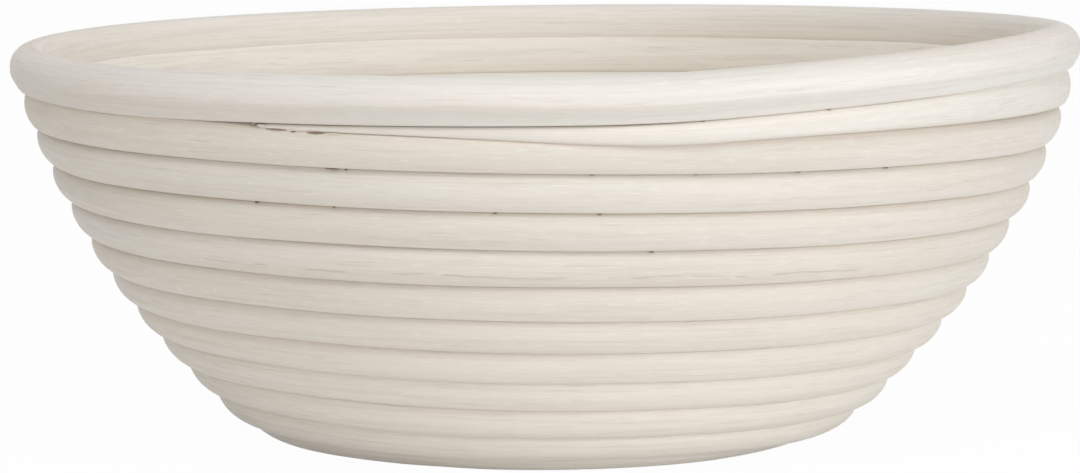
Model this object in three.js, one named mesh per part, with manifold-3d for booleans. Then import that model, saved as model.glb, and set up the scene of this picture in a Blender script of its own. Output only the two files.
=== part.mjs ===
// Rattan proofing basket: cane coiled from the middle of the base up to the mouth, each turn
// pinned to the one before it with steel brads, and a thicker cane bent into a hoop as the rim.
// Millimetres, +Z up, with the origin on the table under the middle of the base.
import * as THREE from "three";
import { mergeVertices } from "three/addons/utils/BufferGeometryUtils.js";
import Module from "manifold-3d";

const wasm = await Module();
wasm.setup();

// Cane sections, and the gap that every two neighbours keep
const CANE_HEIGHT = 7.55; // coiled cane, from one neighbouring turn to the other
const CANE_WIDTH = 8.2; // coiled cane, through the wall
const RIM_CANE_HEIGHT = 8.3;
const RIM_CANE_WIDTH = 9.5;
const TURN_GAP = 0.52;

// Bowl, measured at the middle of the cane, with leans in degrees from the vertical
const BASE_RADIUS = 53; // outermost flat turn
const CENTRE_RADIUS = 5; // inner end of the coil
const FOOT_TURNS = 1.2; // turns that bend up from the base
const WALL_TURNS = 8.9; // turns of the open wall
const LIP_TURNS = 1.7; // turns in which the wall straightens up under the rim
const CLIMB_TURNS = 11.3; // turns from the flat base to the pared end of the coil
const FOOT_LEAN = 49.5; // where the bent foot meets the wall
const SHOULDER_LEAN = 19.5; // where the wall meets the lip
const LIP_LEAN = -3;
const FLAT_SHARE = 0.1; // share of the cane's width worn flat where the basket stands

// Pared end of the coil, which fades out under the rim
const END_AZIMUTH = 237; // degrees from +X, the front being at 270
const TAPER_TURNS = 0.34; // part of a turn in which the rim climbs onto the end
const TAPER_LEAD = 0.047; // part of a turn in which the rim climbs before the end starts
const TAPER_POWER = 1.3; // how slowly that climb begins
const TIP_HEIGHT = 1.4;
const TIP_WIDTH = 2;

// Rim, and the slanting joints between lengths of cane
const RIM_OUTSET = 0.9; // how far the rim stands outside the line of the wall
const RIM_JOINT_TURN = 0.93; // parts of a turn after the pared end
const COIL_JOINT_TURNS = [5.6, 10.6]; // turns down from the pared end
const SCARF_LENGTH = 10;
const SCARF_GAP = 0.8; // along the cane

// Brads
const PIN_WIDTH = 1.2;
const PIN_CLEARANCE = 0.3;
const PIN_SINK = 0.4; // head below the surface of the outer cane
const PIN_BITE = 5; // depth in the cane that it is driven into
const PIN_SPACING = 165; // along the coiled cane
const PIN_INNER_RADIUS = 16; // no brads inside this
const RIM_PIN_TURNS = [0.44, 0.56, 0.69, 0.81, 0.02]; // parts of a turn after the pared end

// Facets
const STEPS = 24; // rings in a turn of the coil
const CANE_SIDES = 6;
const RIM_STEPS = 36;
const RIM_SIDES = 8;

const PITCH = CANE_HEIGHT + TURN_GAP;
const BASE_HEIGHT = CANE_WIDTH * (0.5 - FLAT_SHARE); // middle of the cane in the base
const COIL_TURNS = CLIMB_TURNS + (BASE_RADIUS - CENTRE_RADIUS) / PITCH;
const LAST_STEP = Math.floor(COIL_TURNS * STEPS);
const RATTAN = { color: 0xe4dac9, roughness: 0.72, metalness: 0 };
const STEEL = { color: 0x8b8a86, roughness: 0.42, metalness: 0.9 };

const radians = THREE.MathUtils.degToRad;

// The bowl's profile

// How far an arc that starts and ends with these leans goes out and up
function arcReach(length, fromLean, toLean) {
  const turn = toLean - fromLean;
  if (turn === 0) return { out: length * Math.sin(fromLean), up: length * Math.cos(fromLean) };
  const radius = length / turn;
  return {
    out: radius * (Math.cos(fromLean) - Math.cos(toLean)),
    up: radius * (Math.sin(toLean) - Math.sin(fromLean)),
  };
}

const PROFILE_ARCS = [
  { turns: FOOT_TURNS, from: radians(90), to: radians(FOOT_LEAN) },
  { turns: WALL_TURNS, from: radians(FOOT_LEAN), to: radians(SHOULDER_LEAN) },
  { turns: LIP_TURNS, from: radians(SHOULDER_LEAN), to: radians(LIP_LEAN) },
  { turns: Infinity, from: radians(LIP_LEAN), to: radians(LIP_LEAN) },
];

// Middle of the cane and lean of the wall, so many turns up from the flat base, or into it below 0
function profileAt(climb) {
  const place = { radius: BASE_RADIUS, height: BASE_HEIGHT, lean: radians(90) };
  if (climb <= 0) {
    place.radius += climb * PITCH;
    return place;
  }
  let left = climb;
  for (const arc of PROFILE_ARCS) {
    const turns = Math.min(left, arc.turns);
    const share = turns / arc.turns;
    place.lean = arc.from + (arc.to - arc.from) * share;
    const reach = arcReach(turns * PITCH, arc.from, place.lean);
    place.radius += reach.out;
    place.height += reach.up;
    left -= turns;
    if (left <= 0) break;
  }
  return place;
}

// The meridian at a number of turns after the pared end: directions out of the wall and up along it
function meridianAt(turn, climb, outset = 0) {
  const { radius, height, lean } = profileAt(climb);
  const azimuth = radians(END_AZIMUTH) + 2 * Math.PI * turn;
  const away = new THREE.Vector3(Math.cos(azimuth), Math.sin(azimuth), 0);
  const normal = away.clone().multiplyScalar(Math.cos(lean)).setZ(-Math.sin(lean));
  const along = away.clone().multiplyScalar(Math.sin(lean)).setZ(Math.cos(lean));
  const middle = away.clone().multiplyScalar(radius + outset).setZ(height);
  return { middle, normal, along };
}

// How much of one pitch the rim has climbed above the turn below the pared end
function climbShare(turn) {
  const climbed = Math.floor(turn + TAPER_LEAD);
  const share = (turn + TAPER_LEAD - climbed) / TAPER_TURNS;
  return climbed + Math.min(share, 1) ** TAPER_POWER;
}

// Rings of points

// A ring of a cane with points towards its neighbours, moved out of the wall by an offset
function sectionRing(meridian, width, height, sides, offset = 0) {
  const widest = sides % 4 ? Math.cos(Math.PI / sides) : 1;
  return Array.from({ length: sides }, (_, k) => {
    const angle = Math.PI * ((2 * k) / sides + 0.5);
    const out = offset + ((width / 2) * Math.cos(angle)) / widest;
    return meridian.middle
      .clone()
      .addScaledVector(meridian.normal, out)
      .addScaledVector(meridian.along, (height / 2) * Math.sin(angle));
  });
}

// The coil's ring at a step from the pared end, thinned there to a strip in the outer groove
function coilRing(step) {
  const turn = step / STEPS;
  const whole = Math.min(climbShare(turn), 1);
  const height = Math.max(whole * PITCH - TURN_GAP, TIP_HEIGHT);
  const width = CANE_WIDTH * whole + TIP_WIDTH * (1 - whole);
  const climb = CLIMB_TURNS - turn - (1 - whole) / 2;
  return sectionRing(meridianAt(turn, climb), width, height, CANE_SIDES, (CANE_WIDTH - width) / 2);
}

// The rim's meridian, where it rests on whatever part of the coil is below it
function rimMeridian(turn) {
  const part = turn - Math.floor(turn);
  const rise = (TURN_GAP + RIM_CANE_HEIGHT) / 2 / PITCH;
  return meridianAt(part, CLIMB_TURNS - part - 0.5 + climbShare(part) + rise, RIM_OUTSET);
}

function rimRing(step) {
  const meridian = rimMeridian(RIM_JOINT_TURN + step / RIM_STEPS);
  return sectionRing(meridian, RIM_CANE_WIDTH, RIM_CANE_HEIGHT, RIM_SIDES);
}

// A slanting end between two rings, on one side of the joint's gap: -1 before it and 1 after it
function scarfRing(ringAt, step, side) {
  const [near, far] = [ringAt(step), ringAt(step + 1)];
  const lowest = near.length / 2;
  return near.map((point, k) => {
    const chord = point.distanceTo(far[k]);
    const level = Math.cos((Math.PI * k) / lowest);
    const along = (SCARF_LENGTH * level + SCARF_GAP * side) / 2;
    return point.clone().lerp(far[k], 0.5 + along / chord);
  });
}

function midpoint(points) {
  const sum = points.reduce((total, point) => total.add(point), new THREE.Vector3());
  return sum.divideScalar(points.length);
}

// Solids

function solidFrom(vertices, triangles) {
  return new wasm.Manifold(
    new wasm.Mesh({ numProp: 3, vertProperties: vertices, triVerts: new Uint32Array(triangles) }),
  );
}

// A closed tube through rings of points
function tubeSolid(rings) {
  const sides = rings[0].length;
  const last = (rings.length - 1) * sides;
  const triangles = [];
  for (let start = 0; start < last; start += sides) {
    for (let k = 0; k < sides; k++) {
      const [a, b] = [start + k, start + ((k + 1) % sides)];
      triangles.push(a, a + sides, b + sides, a, b + sides, b);
    }
  }
  for (let k = 1; k < sides - 1; k++) {
    triangles.push(0, k, k + 1);
    triangles.push(last, last + k + 1, last + k);
  }
  return solidFrom(new Float32Array(rings.flat().flatMap((p) => p.toArray())), triangles);
}

function boxSolid(width, depth, height, placing) {
  const box = new THREE.BoxGeometry(width, depth, height).applyMatrix4(placing);
  box.deleteAttribute("normal");
  box.deleteAttribute("uv");
  const merged = mergeVertices(box);
  return solidFrom(merged.attributes.position.array, merged.index.array);
}

function meshFrom(name, solid, finish) {
  const { vertProperties, triVerts } = solid.getMesh();
  const geometry = new THREE.BufferGeometry();
  geometry.setAttribute("position", new THREE.BufferAttribute(vertProperties, 3));
  geometry.setIndex(new THREE.BufferAttribute(triVerts, 1));
  geometry.computeVertexNormals();
  const mesh = new THREE.Mesh(geometry, new THREE.MeshStandardMaterial(finish));
  mesh.name = name;
  return mesh;
}

// The canes

const JOINT_STEPS = COIL_JOINT_TURNS.map((turns) => Math.round(turns * STEPS));
const COIL_CANES = ["upper_wall_cane", "lower_wall_cane", "base_cane"].map((name, k) => ({
  name,
  first: k === 0 ? 0 : JOINT_STEPS[k - 1],
  last: k < JOINT_STEPS.length ? JOINT_STEPS[k] : LAST_STEP,
  holes: [],
}));

// Rings of one length of cane: whole ones, with a slanting one at each end that meets another length
function coilCaneRings({ first, last }) {
  const rings = [];
  for (let step = first + (first > 0 ? 1 : 0); step <= last; step++) rings.push(coilRing(step));
  if (first > 0) rings.unshift(scarfRing(coilRing, first, 1));
  if (last < LAST_STEP) rings.push(scarfRing(coilRing, last, -1));
  return rings;
}

function rimRings() {
  const rings = [scarfRing(rimRing, 0, 1)];
  for (let step = 1; step <= RIM_STEPS; step++) rings.push(rimRing(step));
  rings.push(scarfRing(rimRing, RIM_STEPS, -1));
  return rings;
}

// Least distance between the points of a wound tube that lie half a turn or more apart along it
function leastGap(rings, stepsPerTurn) {
  let least = Infinity;
  for (let i = 0; i < rings.length; i++) {
    for (let j = i + stepsPerTurn / 2; j < rings.length; j++) {
      for (const p of rings[i]) {
        for (const q of rings[j]) least = Math.min(least, p.distanceToSquared(q));
      }
    }
  }
  return Math.sqrt(least);
}

// The brads

const chordMiddle = (step) => midpoint([...coilRing(step), ...coilRing(step + 1)]);
const caneAt = (step) => COIL_CANES.find((cane) => step >= cane.first && step < cane.last);
const nearJoint = (step) => JOINT_STEPS.some((joint) => Math.abs(step - joint) <= 1);

// A brad from the cane that holds its head down into the cane before it
function brad(name, headPlace, headHalf, tipPlace, hosts) {
  const up = headPlace.clone().sub(tipPlace).normalize();
  const across = new THREE.Vector3(-headPlace.y, headPlace.x, 0).normalize();
  const top = headPlace.clone().addScaledVector(up, headHalf - PIN_SINK);
  const bottom = tipPlace.clone().addScaledVector(up, CANE_HEIGHT / 2 - PIN_BITE);
  const mouth = headPlace.clone().addScaledVector(up, headHalf + TURN_GAP / 4);
  const end = bottom.clone().addScaledVector(up, -PIN_CLEARANCE);
  const turned = new THREE.Matrix4().makeBasis(across, up.clone().cross(across), up);
  const hole = boxSolid(
    PIN_WIDTH + 2 * PIN_CLEARANCE,
    PIN_WIDTH + 2 * PIN_CLEARANCE,
    mouth.distanceTo(end),
    turned.clone().setPosition(mouth.clone().lerp(end, 0.5)),
  );
  hosts.forEach((host) => host.holes.push(hole));
  const geometry = new THREE.BoxGeometry(PIN_WIDTH, PIN_WIDTH, top.distanceTo(bottom));
  const mesh = new THREE.Mesh(geometry, new THREE.MeshStandardMaterial(STEEL));
  mesh.name = name;
  mesh.quaternion.setFromRotationMatrix(turned);
  mesh.position.copy(top).lerp(bottom, 0.5);
  return mesh;
}

const numbered = (name, k) => `${name}_${String(k).padStart(2, "0")}`;
const rim = { name: "rim_hoop", holes: [] };

// Brads through the rim into the top turn, or beside the pared end into the turn below it
const rimPinSteps = RIM_PIN_TURNS.map((turn) => {
  const step = Math.floor(turn * STEPS);
  return step > TAPER_TURNS * STEPS ? step : step + STEPS;
});
const rimPins = rimPinSteps.map((step, k) =>
  brad(
    numbered("rim_pin", k + 1),
    rimMeridian((step + 0.5) / STEPS).middle,
    RIM_CANE_HEIGHT / 2,
    chordMiddle(step),
    [rim, caneAt(step)],
  ),
);

// Brads through each turn of the coil into the next one down or in, no two of them in one line
function coilPinSteps() {
  const taken = new Set(rimPinSteps.map((step) => step - STEPS));
  const steps = [];
  let run = PIN_SPACING;
  for (let step = Math.ceil(TAPER_TURNS * STEPS) + 1; step + STEPS < LAST_STEP; step++) {
    const [head, tip] = [chordMiddle(step), chordMiddle(step + STEPS)];
    run += head.distanceTo(chordMiddle(step - 1));
    const crowded = taken.has(step - STEPS) || nearJoint(step) || nearJoint(step + STEPS);
    if (run < PIN_SPACING || crowded || Math.hypot(tip.x, tip.y) < PIN_INNER_RADIUS) continue;
    taken.add(step);
    steps.push(step);
    run = 0;
  }
  return steps;
}

const pinCounts = { wall_pin: 0, base_pin: 0 };
const coilPins = coilPinSteps().map((step) => {
  const kind = step < CLIMB_TURNS * STEPS ? "wall_pin" : "base_pin";
  pinCounts[kind] += 1;
  const hosts = new Set([caneAt(step), caneAt(step + STEPS)]);
  const name = numbered(kind, pinCounts[kind]);
  return brad(name, chordMiddle(step), CANE_HEIGHT / 2, chordMiddle(step + STEPS), [...hosts]);
});

// The basket

const table = boxSolid(
  4 * BASE_RADIUS,
  4 * BASE_RADIUS,
  CANE_WIDTH,
  new THREE.Matrix4().makeTranslation(0, 0, -CANE_WIDTH / 2),
);

function caneMesh(cane, rings, stepsPerTurn) {
  const gap = leastGap(rings, stepsPerTurn);
  console.log(`${cane.name}: least gap to itself ${gap.toFixed(2)} mm`);
  const whole = tubeSolid(rings).subtract(table);
  const drilled = cane.holes.reduce((solid, hole) => solid.subtract(hole), whole);
  return meshFrom(cane.name, drilled, RATTAN);
}

const basket = new THREE.Group();
basket.add(caneMesh(rim, rimRings(), RIM_STEPS));
COIL_CANES.forEach((cane) => basket.add(caneMesh(cane, coilCaneRings(cane), STEPS)));
basket.add(...rimPins, ...coilPins);

export default basket;
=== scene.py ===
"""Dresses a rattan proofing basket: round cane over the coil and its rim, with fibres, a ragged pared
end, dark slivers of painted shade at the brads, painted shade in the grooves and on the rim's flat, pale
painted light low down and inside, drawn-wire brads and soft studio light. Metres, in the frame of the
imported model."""
import math

import bpy
import numpy as np
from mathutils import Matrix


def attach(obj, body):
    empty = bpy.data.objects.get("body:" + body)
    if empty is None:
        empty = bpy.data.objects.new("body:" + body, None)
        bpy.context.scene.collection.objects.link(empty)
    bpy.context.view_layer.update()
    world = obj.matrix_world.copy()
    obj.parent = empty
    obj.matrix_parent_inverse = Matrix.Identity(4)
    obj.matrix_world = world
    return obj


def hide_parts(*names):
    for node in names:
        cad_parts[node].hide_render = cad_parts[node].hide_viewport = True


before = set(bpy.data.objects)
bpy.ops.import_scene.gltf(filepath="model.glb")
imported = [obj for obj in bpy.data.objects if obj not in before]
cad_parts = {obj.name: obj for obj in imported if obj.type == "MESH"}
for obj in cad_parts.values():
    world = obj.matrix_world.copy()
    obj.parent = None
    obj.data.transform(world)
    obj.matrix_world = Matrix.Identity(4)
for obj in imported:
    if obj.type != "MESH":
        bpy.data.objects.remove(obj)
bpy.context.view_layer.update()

# Turns count down from the pared end, and climbs are turns that count up from the flat base. A pair
# whose name ends in IN or OUT gives where something begins and ends to fade in or out.

# Bowl, measured at the middle of the cane, with leans from the vertical
PITCH = 0.00807  # from one turn of the coil to the next
BASE_RADIUS = 0.053  # outermost flat turn
CENTRE_RADIUS = 0.005  # inner end of the coil
BASE_HEIGHT = 0.00328  # middle of the cane in the base
CLIMB_TURNS = 11.3  # turns from the flat base to the pared end
FOOT_LEAN, SHOULDER_LEAN, LIP_LEAN = np.radians([49.5, 19.5, -3.0])
WALL_ARCS = [
    (1.2, np.pi / 2, FOOT_LEAN),
    (8.9, FOOT_LEAN, SHOULDER_LEAN),
    (1.7, SHOULDER_LEAN, LIP_LEAN),
]  # turns in each, and its first and last lean
COIL_TURNS = CLIMB_TURNS + (BASE_RADIUS - CENTRE_RADIUS) / PITCH
WALL_LIFT = 0.001  # how far the wall stands above those arcs, but not its foot and its lip
WALL_LIFT_IN = (0.0, 4.0)
WALL_LIFT_OUT = (CLIMB_TURNS - 1.6, CLIMB_TURNS - 0.4)
START_LIFT = 0.0008  # how far the flat turn stands clear of the table where the wall begins to climb
START_CLIMB, START_SPREAD = 0.02, 0.13
FOOT_LIFT = 0.0007  # how far the foot of the wall stands above its arc
FOOT_CLIMB, FOOT_SPREAD = 0.85, 0.4

# Sections of the canes, as halves
CANE_OUT = 0.0041  # through the wall
CANE_FILL = 0.996  # share of the way between neighbouring turns that the cane takes up
CANE_FACE = 0.0065  # radius of the coil's faces
UPPER_CORNER = 0.0026  # radius between a face and the flat that touches the turn above
LOWER_CORNER = 0.0012  # and the one below
SEAT_CORNER = 0.0008  # upper corner under the rim and at the foot
SEAT_CORNER_IN = (0.4, 0.9)  # in pitches that the rim has climbed
SEAT_CORNER_OUT = (1.17, 1.32)
FOOT_CORNER_IN = (0.05, 0.23)
FOOT_CORNER_OUT = (0.4, 1.0)
THIN_CORNER = 0.95  # share of a thin half that its corner takes up at most
FOOT_REACH = 0.0015  # how far the outermost flat turn is pressed under the wall
FOOT_REACH_IN = (0.0, 0.3)
FOOT_REACH_OUT = (0.45, 0.75)
RIM_OUT = 0.00476
RIM_UP = 0.00455
RIM_POWERS = (2.2, 2.1), (3.7, 2.2)  # of its upper and lower half, out and up, 2 being an ellipse
RIM_INNER = 0.0034  # half of it on the inside of the bowl
RIM_INNER_POWER = 11  # of the lower half there, out
RIM_INNER_SLANT = 0.15  # how far its face there slants inwards, per distance down
RIM_FACET = 0.0045  # from the middle of the rim to the flat on its lower outer side
RIM_FACET_LEAN = math.radians(32)  # how far the flat faces down
RIM_FACET_TWIST = math.radians(4)  # and how much less it does so near the rim's joint
RIM_FACET_EDGE = 0.0001
INNER_RISE = 0.0018  # how much higher the rim's seat is on the inside than in the middle
INNER_RISE_IN = (0.2, 0.3)
INNER_RISE_OUT = (0.94, 1.0)

# Pared end of the coil under the rim
END_AZIMUTH = math.radians(237)  # from +X, the front being at 270 degrees
TAPER_LEAD = 0.047  # part of a turn by which the rim begins to climb before the end
EASY_TURNS, EASY_SHARE = 0.1715, 0.3  # gentle part of the climb to the next turn
STEEP_TURNS, STEEP_POWER = 0.1685, 1.35
TAPER_EASE = 0.018  # part of a turn over which the climb is evened out
TAPER_SAMPLES = 15
TIP_TURN = 0.0092  # part of a turn that is cut off the thin end
TIP_OUT = 0.0011
TIP_UP = 0.00035
END_SAG = 0.00155  # how far the pared end hangs over the turn below it
END_DENT = 0.0009  # how far it dents that turn
END_SAG_TURN, END_SAG_SPREAD = 0.118, 0.05
END_RISE = 0.0006  # how far the line under it lies above the wall's own, after that
END_RISE_IN = (0.105, 0.165)
END_RISE_OUT = (0.4, 0.6)
STRIP_SHIFT = 0.45  # how much nearer its lower edge than halfway up the thin end stands out furthest

# The next pairs are in pitches that the rim has climbed
TIP_RECESS = 0.0009  # how far the thin end is set back under the rim
TIP_RECESS_OUT = (0.16, 0.36)
STRIP_PROUD = 0.0009  # how far it stands out of the wall where it widens
STRIP_PROUD_IN = (0.18, 0.35)
STRIP_PROUD_OUT = (0.7, 1.0)
STRIP_GAP = 0.00018  # between the thin end and the rim
STRIP_GAP_OUT = (0.2, 0.5)
SEAT_PRESS = 0.00036  # how far the cane is pressed into the rim
SEAT_PRESS_IN = (0.15, 0.5)
SEAT_SWELL = 0.1  # how far the turn below swells into the gap before the thin end, in pitches
UNDER_RIM_OUT = (0.97, 1.03)  # in turns, where the coil leaves the rim

# Rim and the joints between lengths of cane
RIM_OUTSET = 0.0009
RIM_RISE = 0.0041  # middle of the rim above the top of the coil
RIM_JOINT_TURN = 0.93
RIM_FACET_OUT = (0.16, 0.26)
RIM_FACET_IN = (RIM_JOINT_TURN - 0.08, RIM_JOINT_TURN)
RIM_TWIST_IN = (0.5, 0.6)
RIM_TWIST_OUT = (0.955, 1.0)
COIL_JOINT_TURNS = (5.6, 10.6)
COIL_SCARF = 0.010
RIM_SCARF = 0.034
SCARF_FADE = 3  # lengths of a scarf over which its slant fades out

# Unevenness of the canes: how far they swing, what share they swell, the waves of both, and their phases
COIL_SWING, COIL_SWING_WAVES, COIL_SWING_PHASE = 0.00022, (0.31, 0.127, 0.071), 1.7
COIL_SWELL, COIL_SWELL_WAVES, COIL_SWELL_PHASE = 0.022, (0.23, 0.094, 0.041), 0.6
RIM_SWING, RIM_SWING_COUNTS, RIM_SWING_PHASE = 0.0002, np.array([2, 4, 8]), 2.1
RIM_SWELL, RIM_SWELL_COUNTS, RIM_SWELL_PHASE = 0.014, np.array([3, 6, 14]), 0.9

# Where the cane is marked for its finish: painted shade in its grooves and on the rim's flat, a crack, and
# pale painted light on low and inner parts
MARKS = ("groove", "split", "flat", "sheltered")
GROOVE_FACING_IN = (0.9, 1.0)  # share by which a point faces the neighbouring turn
OPEN_SIDE_IN = (-0.5, -0.2)  # where the outermost flat turn has no neighbour to make a groove
OPEN_SIDE_OUT = (0.45, 0.75)
# Pale painted light, lifting the shade low down, at the foot and inside the bowl:
PALE_HEIGHT = 0.05  # up to where the foot is paler than the wall
FOOT_PALE, FOOT_PALE_HEIGHT = 0.5, 0.007  # how much paler still the outside is just above the table
INNER_PALE, RIM_INNER_PALE = 0.9, 0.6  # and the inside of the bowl
INNER_SIDE_OUT = (-2 / 3, 0.0)  # as a share of the cane's half thickness
OUTER_SIDE_IN = (-1.0, 0.0)
SPLIT_TURNS = (3.955, 4.225)  # fine crack along one turn of the wall
SPLIT_EASE = 0.03
SPLIT_ANGLE = math.radians(-13)  # above or below the middle of the cane's face

# Grids
ROWS_PER_TURN = 300
RIM_COLUMNS = 56
SLIVER_ROWS, SLIVER_COLUMNS = 48, 10
SLIVER_END = 0.002  # share of a sliver left off at its points
CAP_RINGS = np.array([0.93, 0.62, 0.3])  # sizes of the rings in an end cap
QUARTER_FACINGS = np.radians([2, 14, 26, 38, 49, 58, 66, 74, 82])  # columns of the coil, from the contact


# Rises and falls

def part_way(value, start, end):
    """Share of the way that a value has come from start to end, and no further."""
    return np.clip((value - start) / (end - start), 0, 1)


def smooth(share):
    """Goes from 0 to 1 with level ends: three times the square less twice the cube."""
    return share * share * (3 - 2 * share)


def rising(value, start, end):
    """Smoothly from 0 at the start to 1 at the end."""
    return smooth(part_way(value, start, end))


def falling(value, start, end):
    """Smoothly from 1 at the start to 0 at the end."""
    return smooth(part_way(value, end, start))


def hump(value, middle, spread):
    """One in the middle, and to each side the exponential of minus the squared distance in spreads."""
    return np.exp(-((value - middle) / spread) ** 2)


def waver(length, amount, wavelengths, phase):
    """A slow irregular swing along a cane: the mean of sines of several wavelengths."""
    swings = [np.sin(2 * np.pi * length / wave + phase * (k + 1)) for k, wave in enumerate(wavelengths)]
    return amount * np.mean(swings, axis=0)


# The bowl's line

def wall_line(climb):
    """Radius, height and lean of the cane's middle, so many turns up from the flat base.

    Below zero the line runs level. Above it come three arcs, in each of which the lean changes evenly
    with the length, so an arc's reach is its bend radius times the change in cosine and in sine. The
    lifts are added to the height."""
    climb = np.asarray(climb, float)
    radius = BASE_RADIUS + PITCH * np.minimum(climb, 0)
    height = np.full_like(climb, BASE_HEIGHT)
    lean = np.full_like(climb, np.pi / 2)
    left = np.maximum(climb, 0)
    for turns, start, end in WALL_ARCS:
        run = np.minimum(left, turns)
        now = start + (end - start) * run / turns
        bend = PITCH * turns / (end - start)
        radius = radius + bend * (np.cos(start) - np.cos(now))
        height = height + bend * (np.sin(now) - np.sin(start))
        lean = np.where(left > 0, now, lean)
        left = left - run
    radius = radius + PITCH * left * np.sin(LIP_LEAN)
    height = height + PITCH * left * np.cos(LIP_LEAN)
    height = height + WALL_LIFT * rising(climb, *WALL_LIFT_IN) * falling(climb, *WALL_LIFT_OUT)
    height = height + START_LIFT * hump(climb, START_CLIMB, START_SPREAD)
    height = height + FOOT_LIFT * hump(climb, FOOT_CLIMB, FOOT_SPREAD)
    return radius, height, lean


def wall_distance(climb, step):
    """How far two points of the wall's line are apart."""
    here, there = wall_line(climb), wall_line(climb + step)
    return np.hypot(there[0] - here[0], there[1] - here[1])


def climb_share(turn):
    """How many pitches the rim has climbed: an even gentle slope, a steep one that eases off, then level.

    The mean over a short stretch of the coil rounds the corners between them."""
    stretch = np.linspace(-TAPER_EASE, TAPER_EASE, TAPER_SAMPLES)
    nearby = np.asarray(turn, float)[..., None] + stretch + TAPER_LEAD
    climbed = np.floor(nearby)
    into = nearby - climbed
    easy = np.minimum(into / EASY_TURNS, 1)
    steep = 1 - np.clip(1 - (into - EASY_TURNS) / STEEP_TURNS, 0, 1) ** STEEP_POWER
    steep = np.where(into > EASY_TURNS, steep, 0)
    return (climbed + EASY_SHARE * easy + (1 - EASY_SHARE) * steep).mean(-1)


def wall_frame(turn, climb, outset=0.0):
    """Middle of a cane so many turns after the pared end, with the ways out of the wall and up along it.

    The lean tilts both ways within the upright plane through the axis."""
    radius, height, lean = wall_line(climb)
    azimuth = END_AZIMUTH + 2 * np.pi * turn
    level = np.zeros_like(azimuth)
    away = np.stack([np.cos(azimuth), np.sin(azimuth), level], -1)
    up = np.array([0.0, 0.0, 1.0])
    middle = away * (radius + outset)[..., None] + up * height[..., None]
    normal = away * np.cos(lean)[..., None] - up * np.sin(lean)[..., None]
    along = away * np.sin(lean)[..., None] + up * np.cos(lean)[..., None]
    return middle, normal, along


# Surfaces

def barrel(angle, half_out, half_up, half_down, upper_corner):
    """Outline of the coil's cane as distances out and up from its middle, by the way that it faces.

    Each face is an arc of a large radius. Arcs of a small one lead from it to the flat contacts, and
    are smaller still where the cane is too thin for them."""
    facing_out, facing_up = np.abs(np.cos(angle)), np.abs(np.sin(angle))
    above = np.sin(angle) > 0
    half = np.where(above, half_up, half_down)
    corner = np.minimum(np.where(above, upper_corner, LOWER_CORNER), THIN_CORNER * half)
    corner_up = (half - corner) / (CANE_FACE - corner)
    corner_out = np.sqrt(1 - corner_up ** 2)
    radius = np.where(facing_up < corner_up, CANE_FACE, corner)
    out = half_out - CANE_FACE + (CANE_FACE - radius) * corner_out + radius * facing_out
    up = (CANE_FACE - radius) * corner_up + radius * facing_up
    return np.sign(np.cos(angle)) * np.maximum(out, 0), np.sign(np.sin(angle)) * up


def barrel_angles():
    """Ways that the columns of a barrel face, from the contact with the turn above, round the inside."""
    half = np.concatenate([QUARTER_FACINGS, [np.pi / 2], np.pi - QUARTER_FACINGS[::-1]])
    return np.pi / 2 + np.concatenate([half, half + np.pi])


def section(angle, powers):
    """Rounded outline as two shares, out and up: cosine and sine, each raised to two over its power.

    The upper and the lower half have powers of their own."""
    shares = np.stack([np.cos(angle), np.sin(angle)])
    halves = [np.sign(shares) * np.abs(shares) ** (2 / np.array(pair)[:, None]) for pair in powers]
    return np.where(shares[1] > 0, *halves)


def section_angles(columns):
    """Angles round a section, from the contact with the turn above, where the grain's seam is hidden."""
    return np.pi / 2 + 2 * np.pi * np.arange(columns) / columns


def path_length(middle):
    """Length along a line of points, from its first point."""
    steps = np.linalg.norm(np.diff(middle, axis=0), axis=1)
    return np.concatenate([[0.0], np.cumsum(steps)])


def marked(shape, **given):
    """Marks for each point of a tube: the given ones, and zero for the others."""
    return {label: np.broadcast_to(given.get(label, 0.0), shape) for label in MARKS}


def capped(rows, length, marks):
    """Rings of a tube with more at both ends, each the end ring drawn in to its middle and marked as cut."""
    drawn_in = CAP_RINGS[:, None, None]
    caps = len(CAP_RINGS)
    first, last = rows[0].mean(0), rows[-1].mean(0)
    start_cap = first + (rows[0] - first) * drawn_in[::-1]
    end_cap = last + (rows[-1] - last) * drawn_in
    ends = (caps, caps), (0, 0)
    marks = {label: np.pad(values, ends, "edge") for label, values in marks.items()}
    marks["cut"] = np.pad(np.zeros(rows.shape[:2]), ends, constant_values=1)
    return np.concatenate([start_cap, rows, end_cap]), np.pad(length, caps, "edge"), marks


def tube_faces(count, columns, length, girth):
    """Corners of the faces between rings of points, their places on the map, and each face's ring.

    A length beyond the last ring leads back to the first."""
    ring, column = np.meshgrid(np.arange(len(length) - 1), np.arange(columns), indexing="ij")
    corner_rings = np.stack([ring, ring + 1, ring + 1, ring], -1).reshape(-1, 4)
    corner_columns = np.stack([column, column, column + 1, column + 1], -1).reshape(-1, 4)
    quads = corner_rings % count * columns + corner_columns % columns
    quad_map = np.stack([length[corner_rings], corner_columns * girth / columns], -1)
    return quads, quad_map, ring.ravel()


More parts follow.
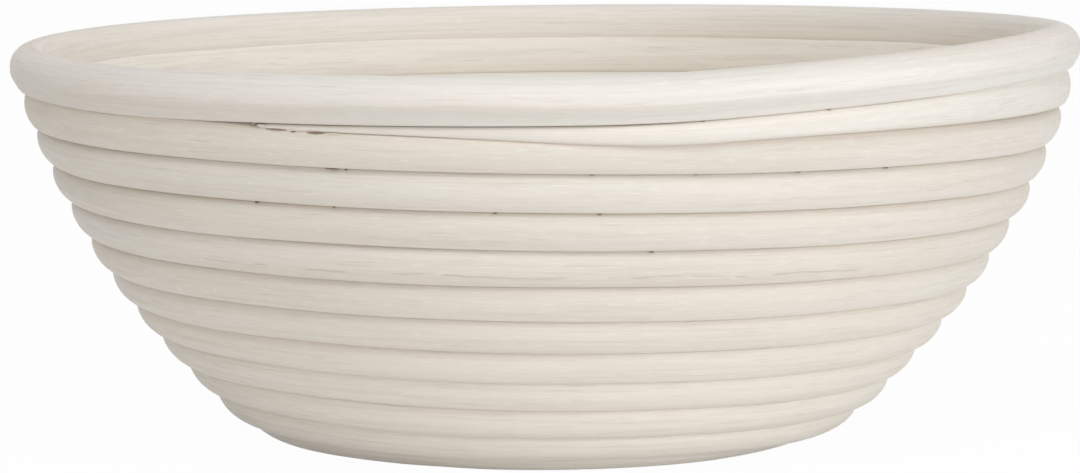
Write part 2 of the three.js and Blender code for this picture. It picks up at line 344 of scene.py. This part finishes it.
def tube(name, rows, length, girth, marks):
    """Mesh of a tube from rings of points, closed at each end by rings that shrink to a pole.

    The map runs along the tube and round it in metres. Marks are numbers for each point."""
    rows, length, marks = capped(rows, length, marks)
    count, columns = rows.shape[:2]
    quads, quad_map, ring = tube_faces(count, columns, length, girth)
    around = np.arange(columns)
    beside = (around + 1) % columns
    poles = np.full(columns, count * columns)
    base = (count - 1) * columns
    fans = np.concatenate([
        np.stack([poles, around, beside], -1),
        np.stack([base + around, poles + 1, base + beside], -1),
    ])
    fan_columns = np.stack([around + 0.5, around, around + 1.0], -1) * girth / columns
    last_columns = np.stack([around, around + 0.5, around + 1.0], -1) * girth / columns
    fan_map = np.concatenate([
        np.stack([np.full_like(fan_columns, length[0]), fan_columns], -1),
        np.stack([np.full_like(last_columns, length[-1]), last_columns], -1),
    ])
    points = np.concatenate([rows.reshape(-1, 3), [rows[0].mean(0), rows[-1].mean(0)]])
    corners = np.concatenate([quads.ravel(), fans.ravel()])
    sizes = np.repeat([4, 3], [len(quads), len(fans)])
    grain = np.concatenate([quad_map.reshape(-1, 2), fan_map.reshape(-1, 2)])
    caps = len(CAP_RINGS)
    rounded = np.append((ring >= caps) & (ring < count - caps - 1), np.zeros(len(fans), bool))
    attributes = {label: np.append(values.ravel(), values[[0, -1], 0]) for label, values in marks.items()}
    return mesh_object(name, points, corners, sizes, rounded, grain, attributes)


def looped_tube(name, rows, length, girth, marks):
    """Mesh of a tube that runs back into itself, its last ring being its first again."""
    count, columns = len(rows) - 1, rows.shape[1]
    points = rows[:-1].reshape(-1, 3)
    quads, quad_map, _ = tube_faces(count, columns, length, girth)
    attributes = {label: values[:-1].ravel() for label, values in marks.items()}
    attributes["cut"] = np.zeros(len(points))
    sizes = np.full(len(quads), 4)
    rounded = np.ones(len(quads), bool)
    return mesh_object(name, points, quads.ravel(), sizes, rounded, quad_map, attributes)


def mesh_object(name, points, corners, sizes, rounded, grain, attributes):
    """Object of one mesh, from whole arrays: points, the faces' corners and sizes, which faces are shaded
    as round, a map and attributes."""
    mesh = bpy.data.meshes.new(name)
    mesh.vertices.add(len(points))
    mesh.vertices.foreach_set("co", points.ravel())
    mesh.loops.add(len(corners))
    mesh.loops.foreach_set("vertex_index", corners.astype(np.int32))
    mesh.polygons.add(len(sizes))
    starts = np.concatenate([[0], np.cumsum(sizes)[:-1]])
    mesh.polygons.foreach_set("loop_start", starts.astype(np.int32))
    mesh.update(calc_edges=True)
    mesh.uv_layers.new(name="grain").data.foreach_set("uv", grain.ravel())
    for label, values in attributes.items():
        mesh.attributes.new(label, "FLOAT", "POINT").data.foreach_set("value", values.ravel())
    mesh.polygons.foreach_set("use_smooth", rounded)
    obj = bpy.data.objects.new(name, mesh)
    bpy.context.scene.collection.objects.link(obj)
    return obj


def slanted(turn, angle, turn_length, scarf, starts, ends):
    """Turns of each point of a tube whose ends are cut on a slant, the upper side ahead of the lower.

    The slant fades out over a few times its own length, so that only the ends lean."""
    slant = scarf / 2 * np.sin(angle)[None, :]
    from_start = (turn - turn[0])[:, None] * turn_length
    from_end = (turn[-1] - turn)[:, None] * turn_length
    shift = np.zeros((len(turn), len(angle)))
    if starts:
        shift += np.clip(1 - from_start / (SCARF_FADE * scarf), 0, 1) ** 2 * slant
    if ends:
        shift += np.clip(1 - from_end / (SCARF_FADE * scarf), 0, 1) ** 2 * slant
    return turn[:, None] + shift / turn_length


# The coil

def line_drop(turn, depth):
    """How far the line under the pared end lies below the wall's own: a hump where the end hangs over,
    less an even rise after it."""
    rise = END_RISE * rising(turn, *END_RISE_IN) * falling(turn, *END_RISE_OUT)
    return depth * hump(turn, END_SAG_TURN, END_SAG_SPREAD) - rise


def contact_heights(turn, climb, share, below):
    """How far the coil's contacts with its neighbours lie above and below its middle.

    They lie on the wall's line between two turns. The turn below the pared end swells a little before
    the end begins, the cane is pressed into the rim, and the flat turn reaches under the wall."""
    whole = np.clip(share, 0, 1)
    to_upper = CANE_FILL * wall_distance(climb, whole - below) - STRIP_GAP * falling(whole, *STRIP_GAP_OUT)
    to_lower = CANE_FILL * wall_distance(climb, -below)
    seat = PITCH * np.clip(share - 1, 0, SEAT_SWELL) + SEAT_PRESS * rising(whole, *SEAT_PRESS_IN)
    seat = seat * (1 - part_way(turn, *UNDER_RIM_OUT))
    reach = FOOT_REACH * rising(climb, *FOOT_REACH_IN) * falling(climb, *FOOT_REACH_OUT)
    half_up = np.maximum(to_upper, TIP_UP) + seat + reach - line_drop(turn - 1, END_DENT)
    half_down = np.maximum(to_lower, TIP_UP) + line_drop(turn, END_SAG)
    return half_up, half_down


def coil_halves(turn):
    """Climb of the coil's middle, its half sizes out, up and down, its upper corner, and how far it is
    set outwards.

    Near the pared end the cane thins with the rim's climb to a strip in the outer groove, which stands
    out furthest near its lower edge."""
    share = climb_share(turn)
    whole = np.clip(share, 0, 1)
    below = whole * (0.5 - STRIP_SHIFT * (1 - whole))
    climb = CLIMB_TURNS - turn - 0.5 + below
    half_out = CANE_OUT * whole + TIP_OUT * (1 - whole)
    half_up, half_down = contact_heights(turn, climb, share, below)
    under_rim = rising(whole, *SEAT_CORNER_IN) * falling(share, *SEAT_CORNER_OUT)
    at_foot = rising(climb, *FOOT_CORNER_IN) * falling(climb, *FOOT_CORNER_OUT)
    corner = UPPER_CORNER + (SEAT_CORNER - UPPER_CORNER) * np.maximum(under_rim, at_foot)
    recess = TIP_RECESS * falling(whole, *TIP_RECESS_OUT)
    proud = STRIP_PROUD * rising(whole, *STRIP_PROUD_IN) * falling(whole, *STRIP_PROUD_OUT)
    set_out = CANE_OUT - half_out - recess + proud
    return climb, half_out, half_up, half_down, corner, set_out


def seat_rise(turn, outward):
    """How much the seat between coil and rim rises towards the inside, all round but under the climb."""
    around = rising(turn, *INNER_RISE_IN) * falling(turn, *INNER_RISE_OUT)
    return INNER_RISE * around * np.clip(-outward / CANE_OUT, 0, 1)


def groove_shade_strength(angle, climb):
    """How far a point faces a neighbouring turn, and so how much painted shade darkens it there, but for the
    open side of the outermost flat turn.
    """
    open_side = (np.sin(angle) > 0) * rising(climb, *OPEN_SIDE_IN) * falling(climb, *OPEN_SIDE_OUT)
    return part_way(np.abs(np.sin(angle)), *GROOVE_FACING_IN) * (1 - open_side)


def split_strength(turn):
    """How open the crack is: zero outside its stretch, easing to one inside it."""
    start, end = SPLIT_TURNS
    return part_way(turn, start, start + SPLIT_EASE) * (1 - part_way(turn, end - SPLIT_EASE, end))


def shelter(height, side):
    """How much pale painted light lifts the shade of a point, by its height and its share out of the wall:
    the more the lower it is, on the inside of the bowl, and once more on the outside just above the table."""
    low = falling(height, 0, PALE_HEIGHT)
    inside = INNER_PALE * falling(side, *INNER_SIDE_OUT)
    foot = FOOT_PALE * falling(height, 0, FOOT_PALE_HEIGHT) * rising(side, *OUTER_SIDE_IN)
    return np.maximum(low, inside) + foot


def coil_cane(name, first, last, grain_start):
    """One length of the coiled cane: a rounded section carried down the spiral, worn flat on the table."""
    turn = np.linspace(first, last, int((last - first) * ROWS_PER_TURN))
    angle = barrel_angles()
    middle = wall_frame(turn, coil_halves(turn)[0])[0]
    length = path_length(middle)
    turn_length = length[-1] / (last - first)
    turns = slanted(turn, angle, turn_length, COIL_SCARF, first > TIP_TURN, last < COIL_TURNS)
    climb, out, up, down, corner, set_out = coil_halves(turns)
    middle, normal, along = wall_frame(turns, climb)
    from_middle, upward = barrel(angle, out, up, down, corner)
    length = length + grain_start
    swing = waver(length, COIL_SWING, COIL_SWING_WAVES, COIL_SWING_PHASE)[:, None]
    swell = 1 + waver(length, COIL_SWELL, COIL_SWELL_WAVES, COIL_SWELL_PHASE)[:, None]
    outward = set_out + swing + from_middle * swell
    upward = upward + np.maximum(upward / up, 0) * seat_rise(turns, outward)
    rows = middle + normal * outward[..., None] + along * upward[..., None]
    rows[..., 2] = np.maximum(rows[..., 2], 0)
    # The groove mark paints shade in the grooves, and the last mark paints pale light on low and inner parts
    marks = marked(
        turns.shape,
        groove=groove_shade_strength(angle, climb),
        split=split_strength(turn)[:, None],
        sheltered=shelter(rows[..., 2], from_middle / CANE_OUT),
    )
    return tube(name, rows, length, 2 * np.pi * CANE_OUT, marks)


# The rim

def rim_frame(turn):
    """Frame of the rim, which rests on whatever part of the coil is below it."""
    climb = CLIMB_TURNS - turn - 0.5 + climb_share(turn) + RIM_RISE / PITCH
    return wall_frame(turn, climb, RIM_OUTSET)


def flattened(turn, outward, upward):
    """The rim's section with a flat on its lower outer side, and how much of the flat is at each point,
    which darkens the flat with painted shade.

    What lies beyond a slanting plane is moved back to it, with a rounded edge. The plane twists near
    the rim's joint and moves away where the flat fades out."""
    twist = rising(turn, *RIM_TWIST_IN) * falling(turn, *RIM_TWIST_OUT)
    lean = RIM_FACET_LEAN - RIM_FACET_TWIST * twist
    fade = rising(turn, *RIM_FACET_OUT) * falling(turn, *RIM_FACET_IN)
    plane = RIM_FACET + fade * (RIM_OUT - RIM_FACET)
    beyond = outward * np.cos(lean) - upward * np.sin(lean) - plane
    cut = (beyond + np.sqrt(beyond ** 2 + RIM_FACET_EDGE ** 2)) / 2
    flat = rising(beyond, 0, RIM_FACET_EDGE) * (1 - fade)
    return outward - cut * np.cos(lean), upward + cut * np.sin(lean), flat


def rim_cane():
    """The rim: a thicker rounded section carried once round into itself, its grain changing at a slant."""
    turn = RIM_JOINT_TURN + np.linspace(0, 1, 2 * ROWS_PER_TURN + 1)
    angle = section_angles(RIM_COLUMNS) + np.pi
    length = path_length(rim_frame(turn)[0])
    turns = slanted(turn, angle, length[-1], RIM_SCARF, True, True)
    middle, normal, along = rim_frame(turns)
    share_out, share_up = section(angle, RIM_POWERS)
    boxy = RIM_POWERS[1][0] / RIM_INNER_POWER
    share_out = np.where((share_out < 0) & (share_up < 0), -np.abs(share_out) ** boxy, share_out)
    swing = waver(length, RIM_SWING, length[-1] / RIM_SWING_COUNTS, RIM_SWING_PHASE)[:, None]
    swell = 1 + waver(length, RIM_SWELL, length[-1] / RIM_SWELL_COUNTS, RIM_SWELL_PHASE)[:, None]
    inner_half = RIM_INNER - RIM_INNER_SLANT * RIM_UP * share_up
    outward = np.where(share_out > 0, RIM_OUT, inner_half) * share_out * swell
    upward = share_up * RIM_UP + np.maximum(-share_up, 0) * seat_rise(turns % 1, outward)
    outward, upward, flat = flattened(turns % 1, outward, upward)
    rows = middle + normal * (outward + swing)[..., None] + along * upward[..., None]
    # Pale painted light on the rim's inside, and painted shade on its flat
    sheltered = RIM_INNER_PALE * falling(share_out, *INNER_SIDE_OUT)
    marks = marked(turns.shape, flat=flat, sheltered=sheltered)
    return looped_tube("rim_cane", rows, length, 2 * np.pi * RIM_OUT, marks)


# Splinters, and dark slivers of painted shade in gaps

def sliver(name, turn_range, drop, out, thick, high):
    """A thin strip along the coil that comes to a point at both ends: an ellipse whose size follows
    the square root of the sine along it. Drop is down from the line under the pared end."""
    share = np.linspace(SLIVER_END, 1 - SLIVER_END, SLIVER_ROWS)
    turn = turn_range[0] + (turn_range[1] - turn_range[0]) * share
    middle, normal, along = wall_frame(turn, CLIMB_TURNS - turn - 0.5 - drop / PITCH)
    size = np.sqrt(np.sin(np.pi * share))[:, None, None]
    angle = section_angles(SLIVER_COLUMNS)
    outward = out + size * (thick * np.cos(angle))[None, :, None]
    upward = size * (high * np.sin(angle))[None, :, None]
    rows = middle[:, None] + normal[:, None] * outward + along[:, None] * upward
    return tube(name, rows, path_length(middle), 2 * np.pi * high, marked(rows.shape[:2]))


def gap_shade_mark(turn, drop, out, half_length, half_height):
    """A dark lens of painted shade in a groove, where the light doesn't reach past a brad: a short flat
    sliver.
    """
    radius = wall_line(CLIMB_TURNS - turn - 0.5)[0]
    half_turn = half_length / (2 * np.pi * float(radius))
    turn_range = turn - half_turn, turn + half_turn
    return sliver("gap", turn_range, drop * PITCH, out, GAP_THICK, half_height)


def joined(name, parts):
    """One object from several, with their maps and attributes."""
    with bpy.context.temp_override(active_object=parts[0], selected_editable_objects=parts):
        bpy.ops.object.join()
    parts[0].name = name
    parts[0].data.name = name
    return parts[0]


# Turns after the pared end, drop, distance out of the wall's middle, half thickness and half height
SPLINTERS = [
    ((0.0086, 0.0112), -0.0004, 0.0033, 0.00020, 0.00022),
    ((0.0180, 0.0225), 0.0001, 0.0032, 0.00022, 0.00018),
    ((0.0300, 0.0345), 0.0004, 0.0033, 0.00020, 0.00014),
]

# Turns after the pared end, drop in pitches, distance out, half length and half height of a dark sliver of
# painted shade in a gap
GAP_SHADE_MARKS = [
    (0.0071, -0.09, 0.0032, 0.0006, 0.00032),
    (0.0145, 0.02, 0.0030, 0.0024, 0.00020),
    (0.0201, 0.04, 0.0031, 0.0005, 0.00026),
    (0.0268, 0.06, 0.0031, 0.0019, 0.00012),
    (0.1350, -0.358, 0.0030, 0.0005, 0.00018),
    (0.1727, -0.556, 0.0033, 0.0005, 0.00018),
    (1.0300, 0.00, 0.0027, 0.0015, 0.00013),
    (1.0344, 0.00, 0.0028, 0.0003, 0.00016),
    (1.1048, 0.00, 0.0024, 0.0005, 0.00016),
    (1.1348, 0.00, 0.0024, 0.0004, 0.00016),
    (1.1667, 0.00, 0.0024, 0.0005, 0.00016),
    (1.1984, 0.00, 0.0024, 0.0005, 0.00016),
    (2.0016, 0.00, 0.0025, 0.0005, 0.00014),
    (2.0280, 0.00, 0.0024, 0.0003, 0.00014),
    (2.0770, 0.00, 0.0024, 0.0004, 0.00016),
    (2.1076, 0.00, 0.0024, 0.0004, 0.00016),
    (3.1244, 0.00, 0.0024, 0.0005, 0.00016),
]
GAP_THICK = 0.0004  # half of it


# Shader maths

class Socket:
    """An output socket in a material's node tree; arithmetic on it adds Math nodes."""

    def __init__(self, tree, socket=None):
        self.tree = tree
        self.socket = socket

    def node(self, kind, settings=None, inputs=None, output=0):
        """Adds a node, sets its settings first and then its inputs, and wraps one of its outputs."""
        made = self.tree.nodes.new(kind)
        for setting, value in (settings or {}).items():
            setattr(made, setting, value)
        for key, value in (inputs or {}).items():
            if isinstance(value, Socket):
                self.tree.links.new(value.socket, made.inputs[key])
            else:
                made.inputs[key].default_value = value
        return Socket(self.tree, made.outputs[output]) if made.outputs else made

    def math(self, operation, a, b=0.0, clamp=False):
        """One Math node on two values."""
        settings = {"operation": operation, "use_clamp": clamp}
        return self.node("ShaderNodeMath", settings, {0: a, 1: b})

    def __add__(self, other):
        return self.math("ADD", self, other)

    __radd__ = __add__

    def __sub__(self, other):
        return self.math("SUBTRACT", self, other)

    def __rsub__(self, other):
        return self.math("SUBTRACT", other, self)

    def __mul__(self, other):
        return self.math("MULTIPLY", self, other)

    __rmul__ = __mul__

    def __abs__(self):
        return self.math("ABSOLUTE", self)

    def ramp(self, low, high, low_value=0.0, high_value=1.0):
        """Goes smoothly from one value to another between two levels."""
        settings = {"interpolation_type": "SMOOTHSTEP"}
        levels = {"From Min": low, "From Max": high, "To Min": low_value, "To Max": high_value}
        return self.node("ShaderNodeMapRange", settings, {"Value": self, **levels})

    def mix(self, a, b):
        """Mixes two colours by this value."""
        return self.node("ShaderNodeMix", {"data_type": "RGBA"}, {0: self, 6: a, 7: b}, output=2)

    def noise(self, vector, scales, detail=2.0, roughness=0.5):
        """Noise stretched by its scales along and round the cane."""
        settings = {"operation": "MULTIPLY"}
        stretched = self.node("ShaderNodeVectorMath", settings, {0: vector, 1: (*scales, 1.0)})
        inputs = {"Vector": stretched, "Scale": 1.0, "Detail": detail, "Roughness": roughness}
        return self.node("ShaderNodeTexNoise", {"noise_dimensions": "2D"}, inputs)


def new_material(name):
    """A material with an empty tree, and a socket to start from."""
    material = bpy.data.materials.new(name)
    material.use_nodes = True
    material.node_tree.nodes.clear()
    return material, Socket(material.node_tree)


def finish_material(sheet, inputs):
    """Adds the surface shader and the output."""
    shader = sheet.node("ShaderNodeBsdfPrincipled", None, inputs)
    sheet.node("ShaderNodeOutputMaterial", None, {"Surface": shader})


def srgb(red, green, blue):
    """A colour given as it shows on screen, as the linear one that a socket takes."""
    shares = np.array([red, green, blue]) / 255
    linear = np.where(shares <= 0.04045, shares / 12.92, ((shares + 0.055) / 1.055) ** 2.4)
    return (*linear, 1.0)


# Finishes

# Tones of the coil and the rim: pale, warm and green
COIL_TONES = srgb(237, 231, 222), srgb(234, 225, 213), srgb(227, 222, 211)
RIM_TONES = srgb(238, 234, 228), srgb(235, 227, 218), srgb(228, 225, 216)

# What the cane's tone turns to
# Pale painted light, for low, inner and foot parts
PAINTED_LIGHT_TONE = srgb(250, 244, 234)
STREAK_TONE = srgb(208, 197, 182)
FIBRE_TONE = srgb(216, 205, 190)
FLECK_TONE = srgb(252, 248, 240)
PORE_TONE = srgb(160, 142, 118)
# Painted shade in the grooves between turns
GROOVE_SHADE_TONE = srgb(150, 132, 110)
# Painted shade on the rim's downward flat
FLAT_SHADE_TONE = srgb(203, 200, 186)
CRACK_TONE = srgb(136, 116, 94)
CUT_TONE, CUT_PORE_TONE = srgb(222, 204, 172), srgb(138, 112, 82)
GAP_SHADE_TONES = srgb(134, 114, 96), srgb(168, 148, 128)
STEEL_TONES = srgb(168, 166, 160), srgb(118, 114, 108)

# And how far
GREEN_SHARE = 0.6
PAINTED_LIGHT_SHARE = 0.6
STREAK_SHARE = 0.22
FIBRE_SHARE = 0.15
FLECK_SHARE = 0.22
PORE_SHARE = 0.14
GROOVE_SHADE_SHARE = 0.16
FLAT_SHADE_SHARE = 0.13
CRACK_SHARE = 0.2

# How fine each pattern is, in waves per metre along and round the cane
DRIFT_GRAIN = (4.0, 70.0)
SHADE_GRAIN = (9.0, 160.0)
STREAK_GRAIN = (22.0, 1100.0)
FIBRE_GRAIN = (70.0, 4200.0)
FLECK_GRAIN = (240.0, 2400.0)
PORE_GRAIN = (95.0, 3300.0)
CRACK_GRAIN = (45.0, 0.0)
BREAK_GRAIN = (130.0, 300.0)
CUT_GRAIN, GAP_GRAIN, STEEL_GRAIN = 1900.0, 2600.0, 900.0  # the same every way

CRACK_WANDER = 0.0016  # from one side to the other
CRACK_EDGE = (0.00008, 0.0002)
RELIEF_STRENGTH, RELIEF_DEPTH = 0.35, 0.00012


def crack_line(sheet, grain, split):
    """A thin broken line that wanders along the cane at one place round it, where the cane is split."""
    around = sheet.node("ShaderNodeSeparateXYZ", None, {0: grain}, output="Y")
    place = (SPLIT_ANGLE - math.pi / 2) % (2 * math.pi) * CANE_OUT
    wander = sheet.noise(grain, CRACK_GRAIN, 3.0) * CRACK_WANDER - CRACK_WANDER / 2
    off_crack = abs(around - place - wander)
    broken = sheet.noise(grain, BREAK_GRAIN, 2.0).ramp(0.42, 0.56)
    return off_crack.ramp(*CRACK_EDGE, 1.0, 0.0) * broken * split


def cut_colour(sheet):
    """The end of a cane: pale wood full of round dark pores."""
    body = sheet.node("ShaderNodeTexCoord", None, None, output="Object")
    cells = sheet.node("ShaderNodeTexVoronoi", None, {"Vector": body, "Scale": CUT_GRAIN})
    return cells.ramp(0.18, 0.34, 0.55, 0.0).mix(CUT_TONE, CUT_PORE_TONE)


def rattan(name, pale, warm, green):
    """Peeled rattan core: pale cream with slow drifts to warmer and greener tones along the cane,
    long fibres, short light flecks, dark pores, a crack where it is marked, and porous cut ends.
    Painted shade darkens the grooves and the rim's flat, and pale painted light lifts low and inner parts."""
    material, sheet = new_material(name)
    grain = sheet.node("ShaderNodeUVMap", {"uv_map": "grain"})
    # Of these marks, the first and the third paint shade, in the grooves and on the rim's flat, and the
    # fourth paints pale light on low and inner parts
    groove, split, flat, sheltered, cut = [
        sheet.node("ShaderNodeAttribute", {"attribute_name": label}, output="Fac")
        for label in (*MARKS, "cut")
    ]
    drift = sheet.noise(grain, DRIFT_GRAIN, 2.0)
    shade = sheet.noise(grain, SHADE_GRAIN, 3.0)
    streak = sheet.noise(grain, STREAK_GRAIN, 3.0, 0.6)
    fibre = sheet.noise(grain, FIBRE_GRAIN, 2.0, 0.6)
    fleck = sheet.noise(grain, FLECK_GRAIN, 1.0).ramp(0.6, 0.74)
    pore = sheet.noise(grain, PORE_GRAIN, 1.0).ramp(0.68, 0.78)
    crack = crack_line(sheet, grain, split)

    colour = drift.ramp(0.35, 0.65).mix(pale, warm)
    colour = (shade.ramp(0.45, 0.75) * GREEN_SHARE).mix(colour, green)
    # Painted light: paler low down, inside the bowl and at the foot
    colour = (sheltered * PAINTED_LIGHT_SHARE).mix(colour, PAINTED_LIGHT_TONE)
    colour = (streak.ramp(0.42, 0.72) * STREAK_SHARE).mix(colour, STREAK_TONE)
    colour = (fibre.ramp(0.45, 0.8) * FIBRE_SHARE).mix(colour, FIBRE_TONE)
    colour = (fleck * FLECK_SHARE).mix(colour, FLECK_TONE)
    colour = (pore * PORE_SHARE).mix(colour, PORE_TONE)
    # Painted shade in the grooves between turns
    colour = (groove * GROOVE_SHADE_SHARE).mix(colour, GROOVE_SHADE_TONE)
    # Painted shade on the rim's downward flat
    colour = (flat * FLAT_SHADE_SHARE).mix(colour, FLAT_SHADE_TONE)
    colour = (crack * CRACK_SHARE).mix(colour, CRACK_TONE)
    colour = cut.mix(colour, cut_colour(sheet))

    relief = streak * 0.5 + fibre * 0.5 - pore * 0.6 - crack * 2.5
    bump_inputs = {"Strength": RELIEF_STRENGTH, "Distance": RELIEF_DEPTH, "Height": relief}
    finish_material(sheet, {
        "Base Color": colour,
        "Roughness": fibre.ramp(0.3, 0.7, 0.5, 0.68),
        "Normal": sheet.node("ShaderNodeBump", None, bump_inputs),
        "Specular IOR Level": 0.35,
    })
    return material


def patches(sheet, scale, detail, low, high):
    """Soft patches that are the same every way, from noise between two levels."""
    body = sheet.node("ShaderNodeTexCoord", None, None, output="Object")
    inputs = {"Vector": body, "Scale": scale, "Detail": detail}
    return sheet.node("ShaderNodeTexNoise", None, inputs).ramp(low, high)


def painted_gap_shade():
    """Painted shade for the unlit depth of a groove, mottled dark brown."""
    material, sheet = new_material("painted_gap_shade")
    mottle = patches(sheet, GAP_GRAIN, 2.0, 0.35, 0.65)
    finish_material(sheet, {"Base Color": mottle.mix(*GAP_SHADE_TONES), "Roughness": 0.9})
    return material


def drawn_steel():
    """Plain drawn wire: grey steel with dull patches."""
    material, sheet = new_material("drawn_steel")
    dull = patches(sheet, STEEL_GRAIN, 3.0, 0.35, 0.7)
    finish_material(sheet, {
        "Base Color": dull.mix(*STEEL_TONES),
        "Roughness": dull.ramp(0, 1, 0.3, 0.55),
        "Metallic": 0.95,
    })
    return material


# The basket

def dress(obj, slot, material, *nodes):
    """Gives a piece its finish and its place on the body, and hides the solids that it stands for."""
    obj.data.materials.append(material)
    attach(obj, "root")
    if nodes:
        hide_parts(*nodes)


coil_finish = rattan("coil_rattan", *COIL_TONES)
rim_finish = rattan("rim_rattan", *RIM_TONES)
gap_shade_finish = painted_gap_shade()
steel_finish = drawn_steel()

# The last number is where a length's grain starts, far enough from the others to be different
upper_end, lower_end = COIL_JOINT_TURNS
upper_wall = coil_cane("upper_wall_coil", TIP_TURN, upper_end, 0.0)
lower_wall = coil_cane("lower_wall_coil", upper_end, lower_end, 11.0)
base = coil_cane("base_coil", lower_end, COIL_TURNS, 23.0)
dress(upper_wall, "coil_rattan", coil_finish, "upper_wall_cane")
dress(lower_wall, "coil_rattan", coil_finish, "lower_wall_cane")
dress(base, "coil_rattan", coil_finish, "base_cane")
dress(rim_cane(), "rim_rattan", rim_finish, "rim_hoop")
splinters = [sliver("splinter", *shape) for shape in SPLINTERS]
dress(joined("end_splinters", splinters), "coil_rattan", coil_finish)
# Dark slivers of painted shade in the grooves, at the brads and under the pared end
gaps = [gap_shade_mark(*place) for place in GAP_SHADE_MARKS]
dress(joined("groove_gap_shade", gaps), "coil_rattan", gap_shade_finish)
for node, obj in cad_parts.items():
    if "_pin_" in node:
        obj.data.materials.clear()
        obj.data.materials.append(steel_finish)


# Floor, light and camera

FLOOR_SIZE = 4.0
FLOOR_DROP = 0.0002
FLOOR_TONE = (0.95, 0.95, 0.95, 1)
FLOOR_WHITE = 0.97  # share of the floor that the camera sees as plain white
WORLD_LEVEL = 0.36
WHITE = (1, 1, 1, 1)

# Place, size, power in watts and colour
LAMPS = {
    "key_light": ((1.28, -0.74, 0.3), 0.5, 5.1, (0.95, 0.985, 1.03)),
    "low_light": ((0.25, -1.3, 0.14), 0.25, 2.5, (1, 1, 1)),
    "high_light": ((0.0, -0.95, 1.2), 0.8, 6.5, (1, 1, 1)),
    "top_light": ((0.0, 0.0, 1.3), 1.3, 2.1, (1, 1, 1)),
    "fill_light": ((-1.28, -0.74, 0.3), 0.5, 0.6, (1.0, 0.9, 0.72)),
}

# Camera, from the photograph's outlines
AIM = np.array([0.0, 0.0, 0.042])
CAMERA_DISTANCE = 0.86053
CAMERA_ELEVATION = math.radians(5.974)
FOCAL_PIXELS = 4143.1
IMAGE_WIDTH, IMAGE_HEIGHT = 1080, 473
CENTRE_COLUMN, CENTRE_ROW = 545.19, 225.53  # where the lens's axis meets the picture
SENSOR = 36.0


def floor():
    """A pale level sheet under the basket, white to the camera but for the basket's soft shadow."""
    corners = np.array([[-1, -1], [1, -1], [1, 1], [-1, 1]]) * FLOOR_SIZE / 2
    points = np.column_stack([corners, np.full(4, -FLOOR_DROP)])
    mesh = bpy.data.meshes.new("floor")
    mesh.from_pydata(points.tolist(), [], [(0, 1, 2, 3)])
    obj = bpy.data.objects.new("floor", mesh)
    bpy.context.scene.collection.objects.link(obj)
    material, sheet = new_material("floor_white")
    paper = sheet.node("ShaderNodeBsdfDiffuse", None, {"Color": FLOOR_TONE})
    white = sheet.node("ShaderNodeEmission", None, {"Color": WHITE, "Strength": 1.0})
    share = seen_directly(sheet) * FLOOR_WHITE
    mixed = sheet.node("ShaderNodeMixShader", None, {0: share, 1: paper, 2: white})
    sheet.node("ShaderNodeOutputMaterial", None, {"Surface": mixed})
    mesh.materials.append(material)


def seen_directly(sheet):
    """One for what the camera sees straight, mirrored or through glass, and zero for other light."""
    camera = sheet.node("ShaderNodeLightPath", None, None, output="Is Camera Ray")
    glossy = sheet.node("ShaderNodeLightPath", None, None, output="Is Glossy Ray")
    through = sheet.node("ShaderNodeLightPath", None, None, output="Is Transmission Ray")
    return sheet.math("ADD", camera + glossy, through, clamp=True)


def surroundings(level):
    """A world that lights evenly and shows white to the camera."""
    world = bpy.data.worlds.new("studio")
    world.use_nodes = True
    world.node_tree.nodes.clear()
    sheet = Socket(world.node_tree)
    strength = seen_directly(sheet) * (1 - level) + level
    background = sheet.node("ShaderNodeBackground", None, {"Color": WHITE, "Strength": strength})
    sheet.node("ShaderNodeOutputWorld", None, {"Surface": background})
    bpy.context.scene.world = world


def softbox(name, place, size, power, colour):
    """A square area lamp turned towards the middle of the basket."""
    lamp = bpy.data.lights.new(name, "AREA")
    lamp.size = size
    lamp.energy = power
    lamp.color = colour
    obj = bpy.data.objects.new(name, lamp)
    obj.location = place
    away = np.array(place) - AIM
    flat = math.hypot(away[0], away[1])
    obj.rotation_euler = (math.atan2(flat, away[2]), 0, math.atan2(away[0], -away[1]))
    bpy.context.scene.collection.objects.link(obj)


def photograph_camera():
    """A long lens a little above the rim, shifted so that its axis meets the picture off its middle."""
    camera = bpy.data.cameras.new("camera")
    camera.sensor_width = SENSOR
    camera.lens = FOCAL_PIXELS * SENSOR / IMAGE_WIDTH
    camera.shift_x = (IMAGE_WIDTH / 2 - CENTRE_COLUMN) / IMAGE_WIDTH
    camera.shift_y = (CENTRE_ROW - IMAGE_HEIGHT / 2) / IMAGE_WIDTH
    camera.clip_start = 0.01
    obj = bpy.data.objects.new("camera", camera)
    back = np.array([0, -math.cos(CAMERA_ELEVATION), math.sin(CAMERA_ELEVATION)])
    obj.location = AIM + CAMERA_DISTANCE * back
    obj.rotation_euler = (math.pi / 2 - CAMERA_ELEVATION, 0, 0)
    bpy.context.scene.collection.objects.link(obj)
    bpy.context.scene.camera = obj


floor()
surroundings(WORLD_LEVEL)
for lamp_name, lamp_shape in LAMPS.items():
    softbox(lamp_name, *lamp_shape)
photograph_camera()
bpy.context.scene.view_settings.view_transform = "Standard"
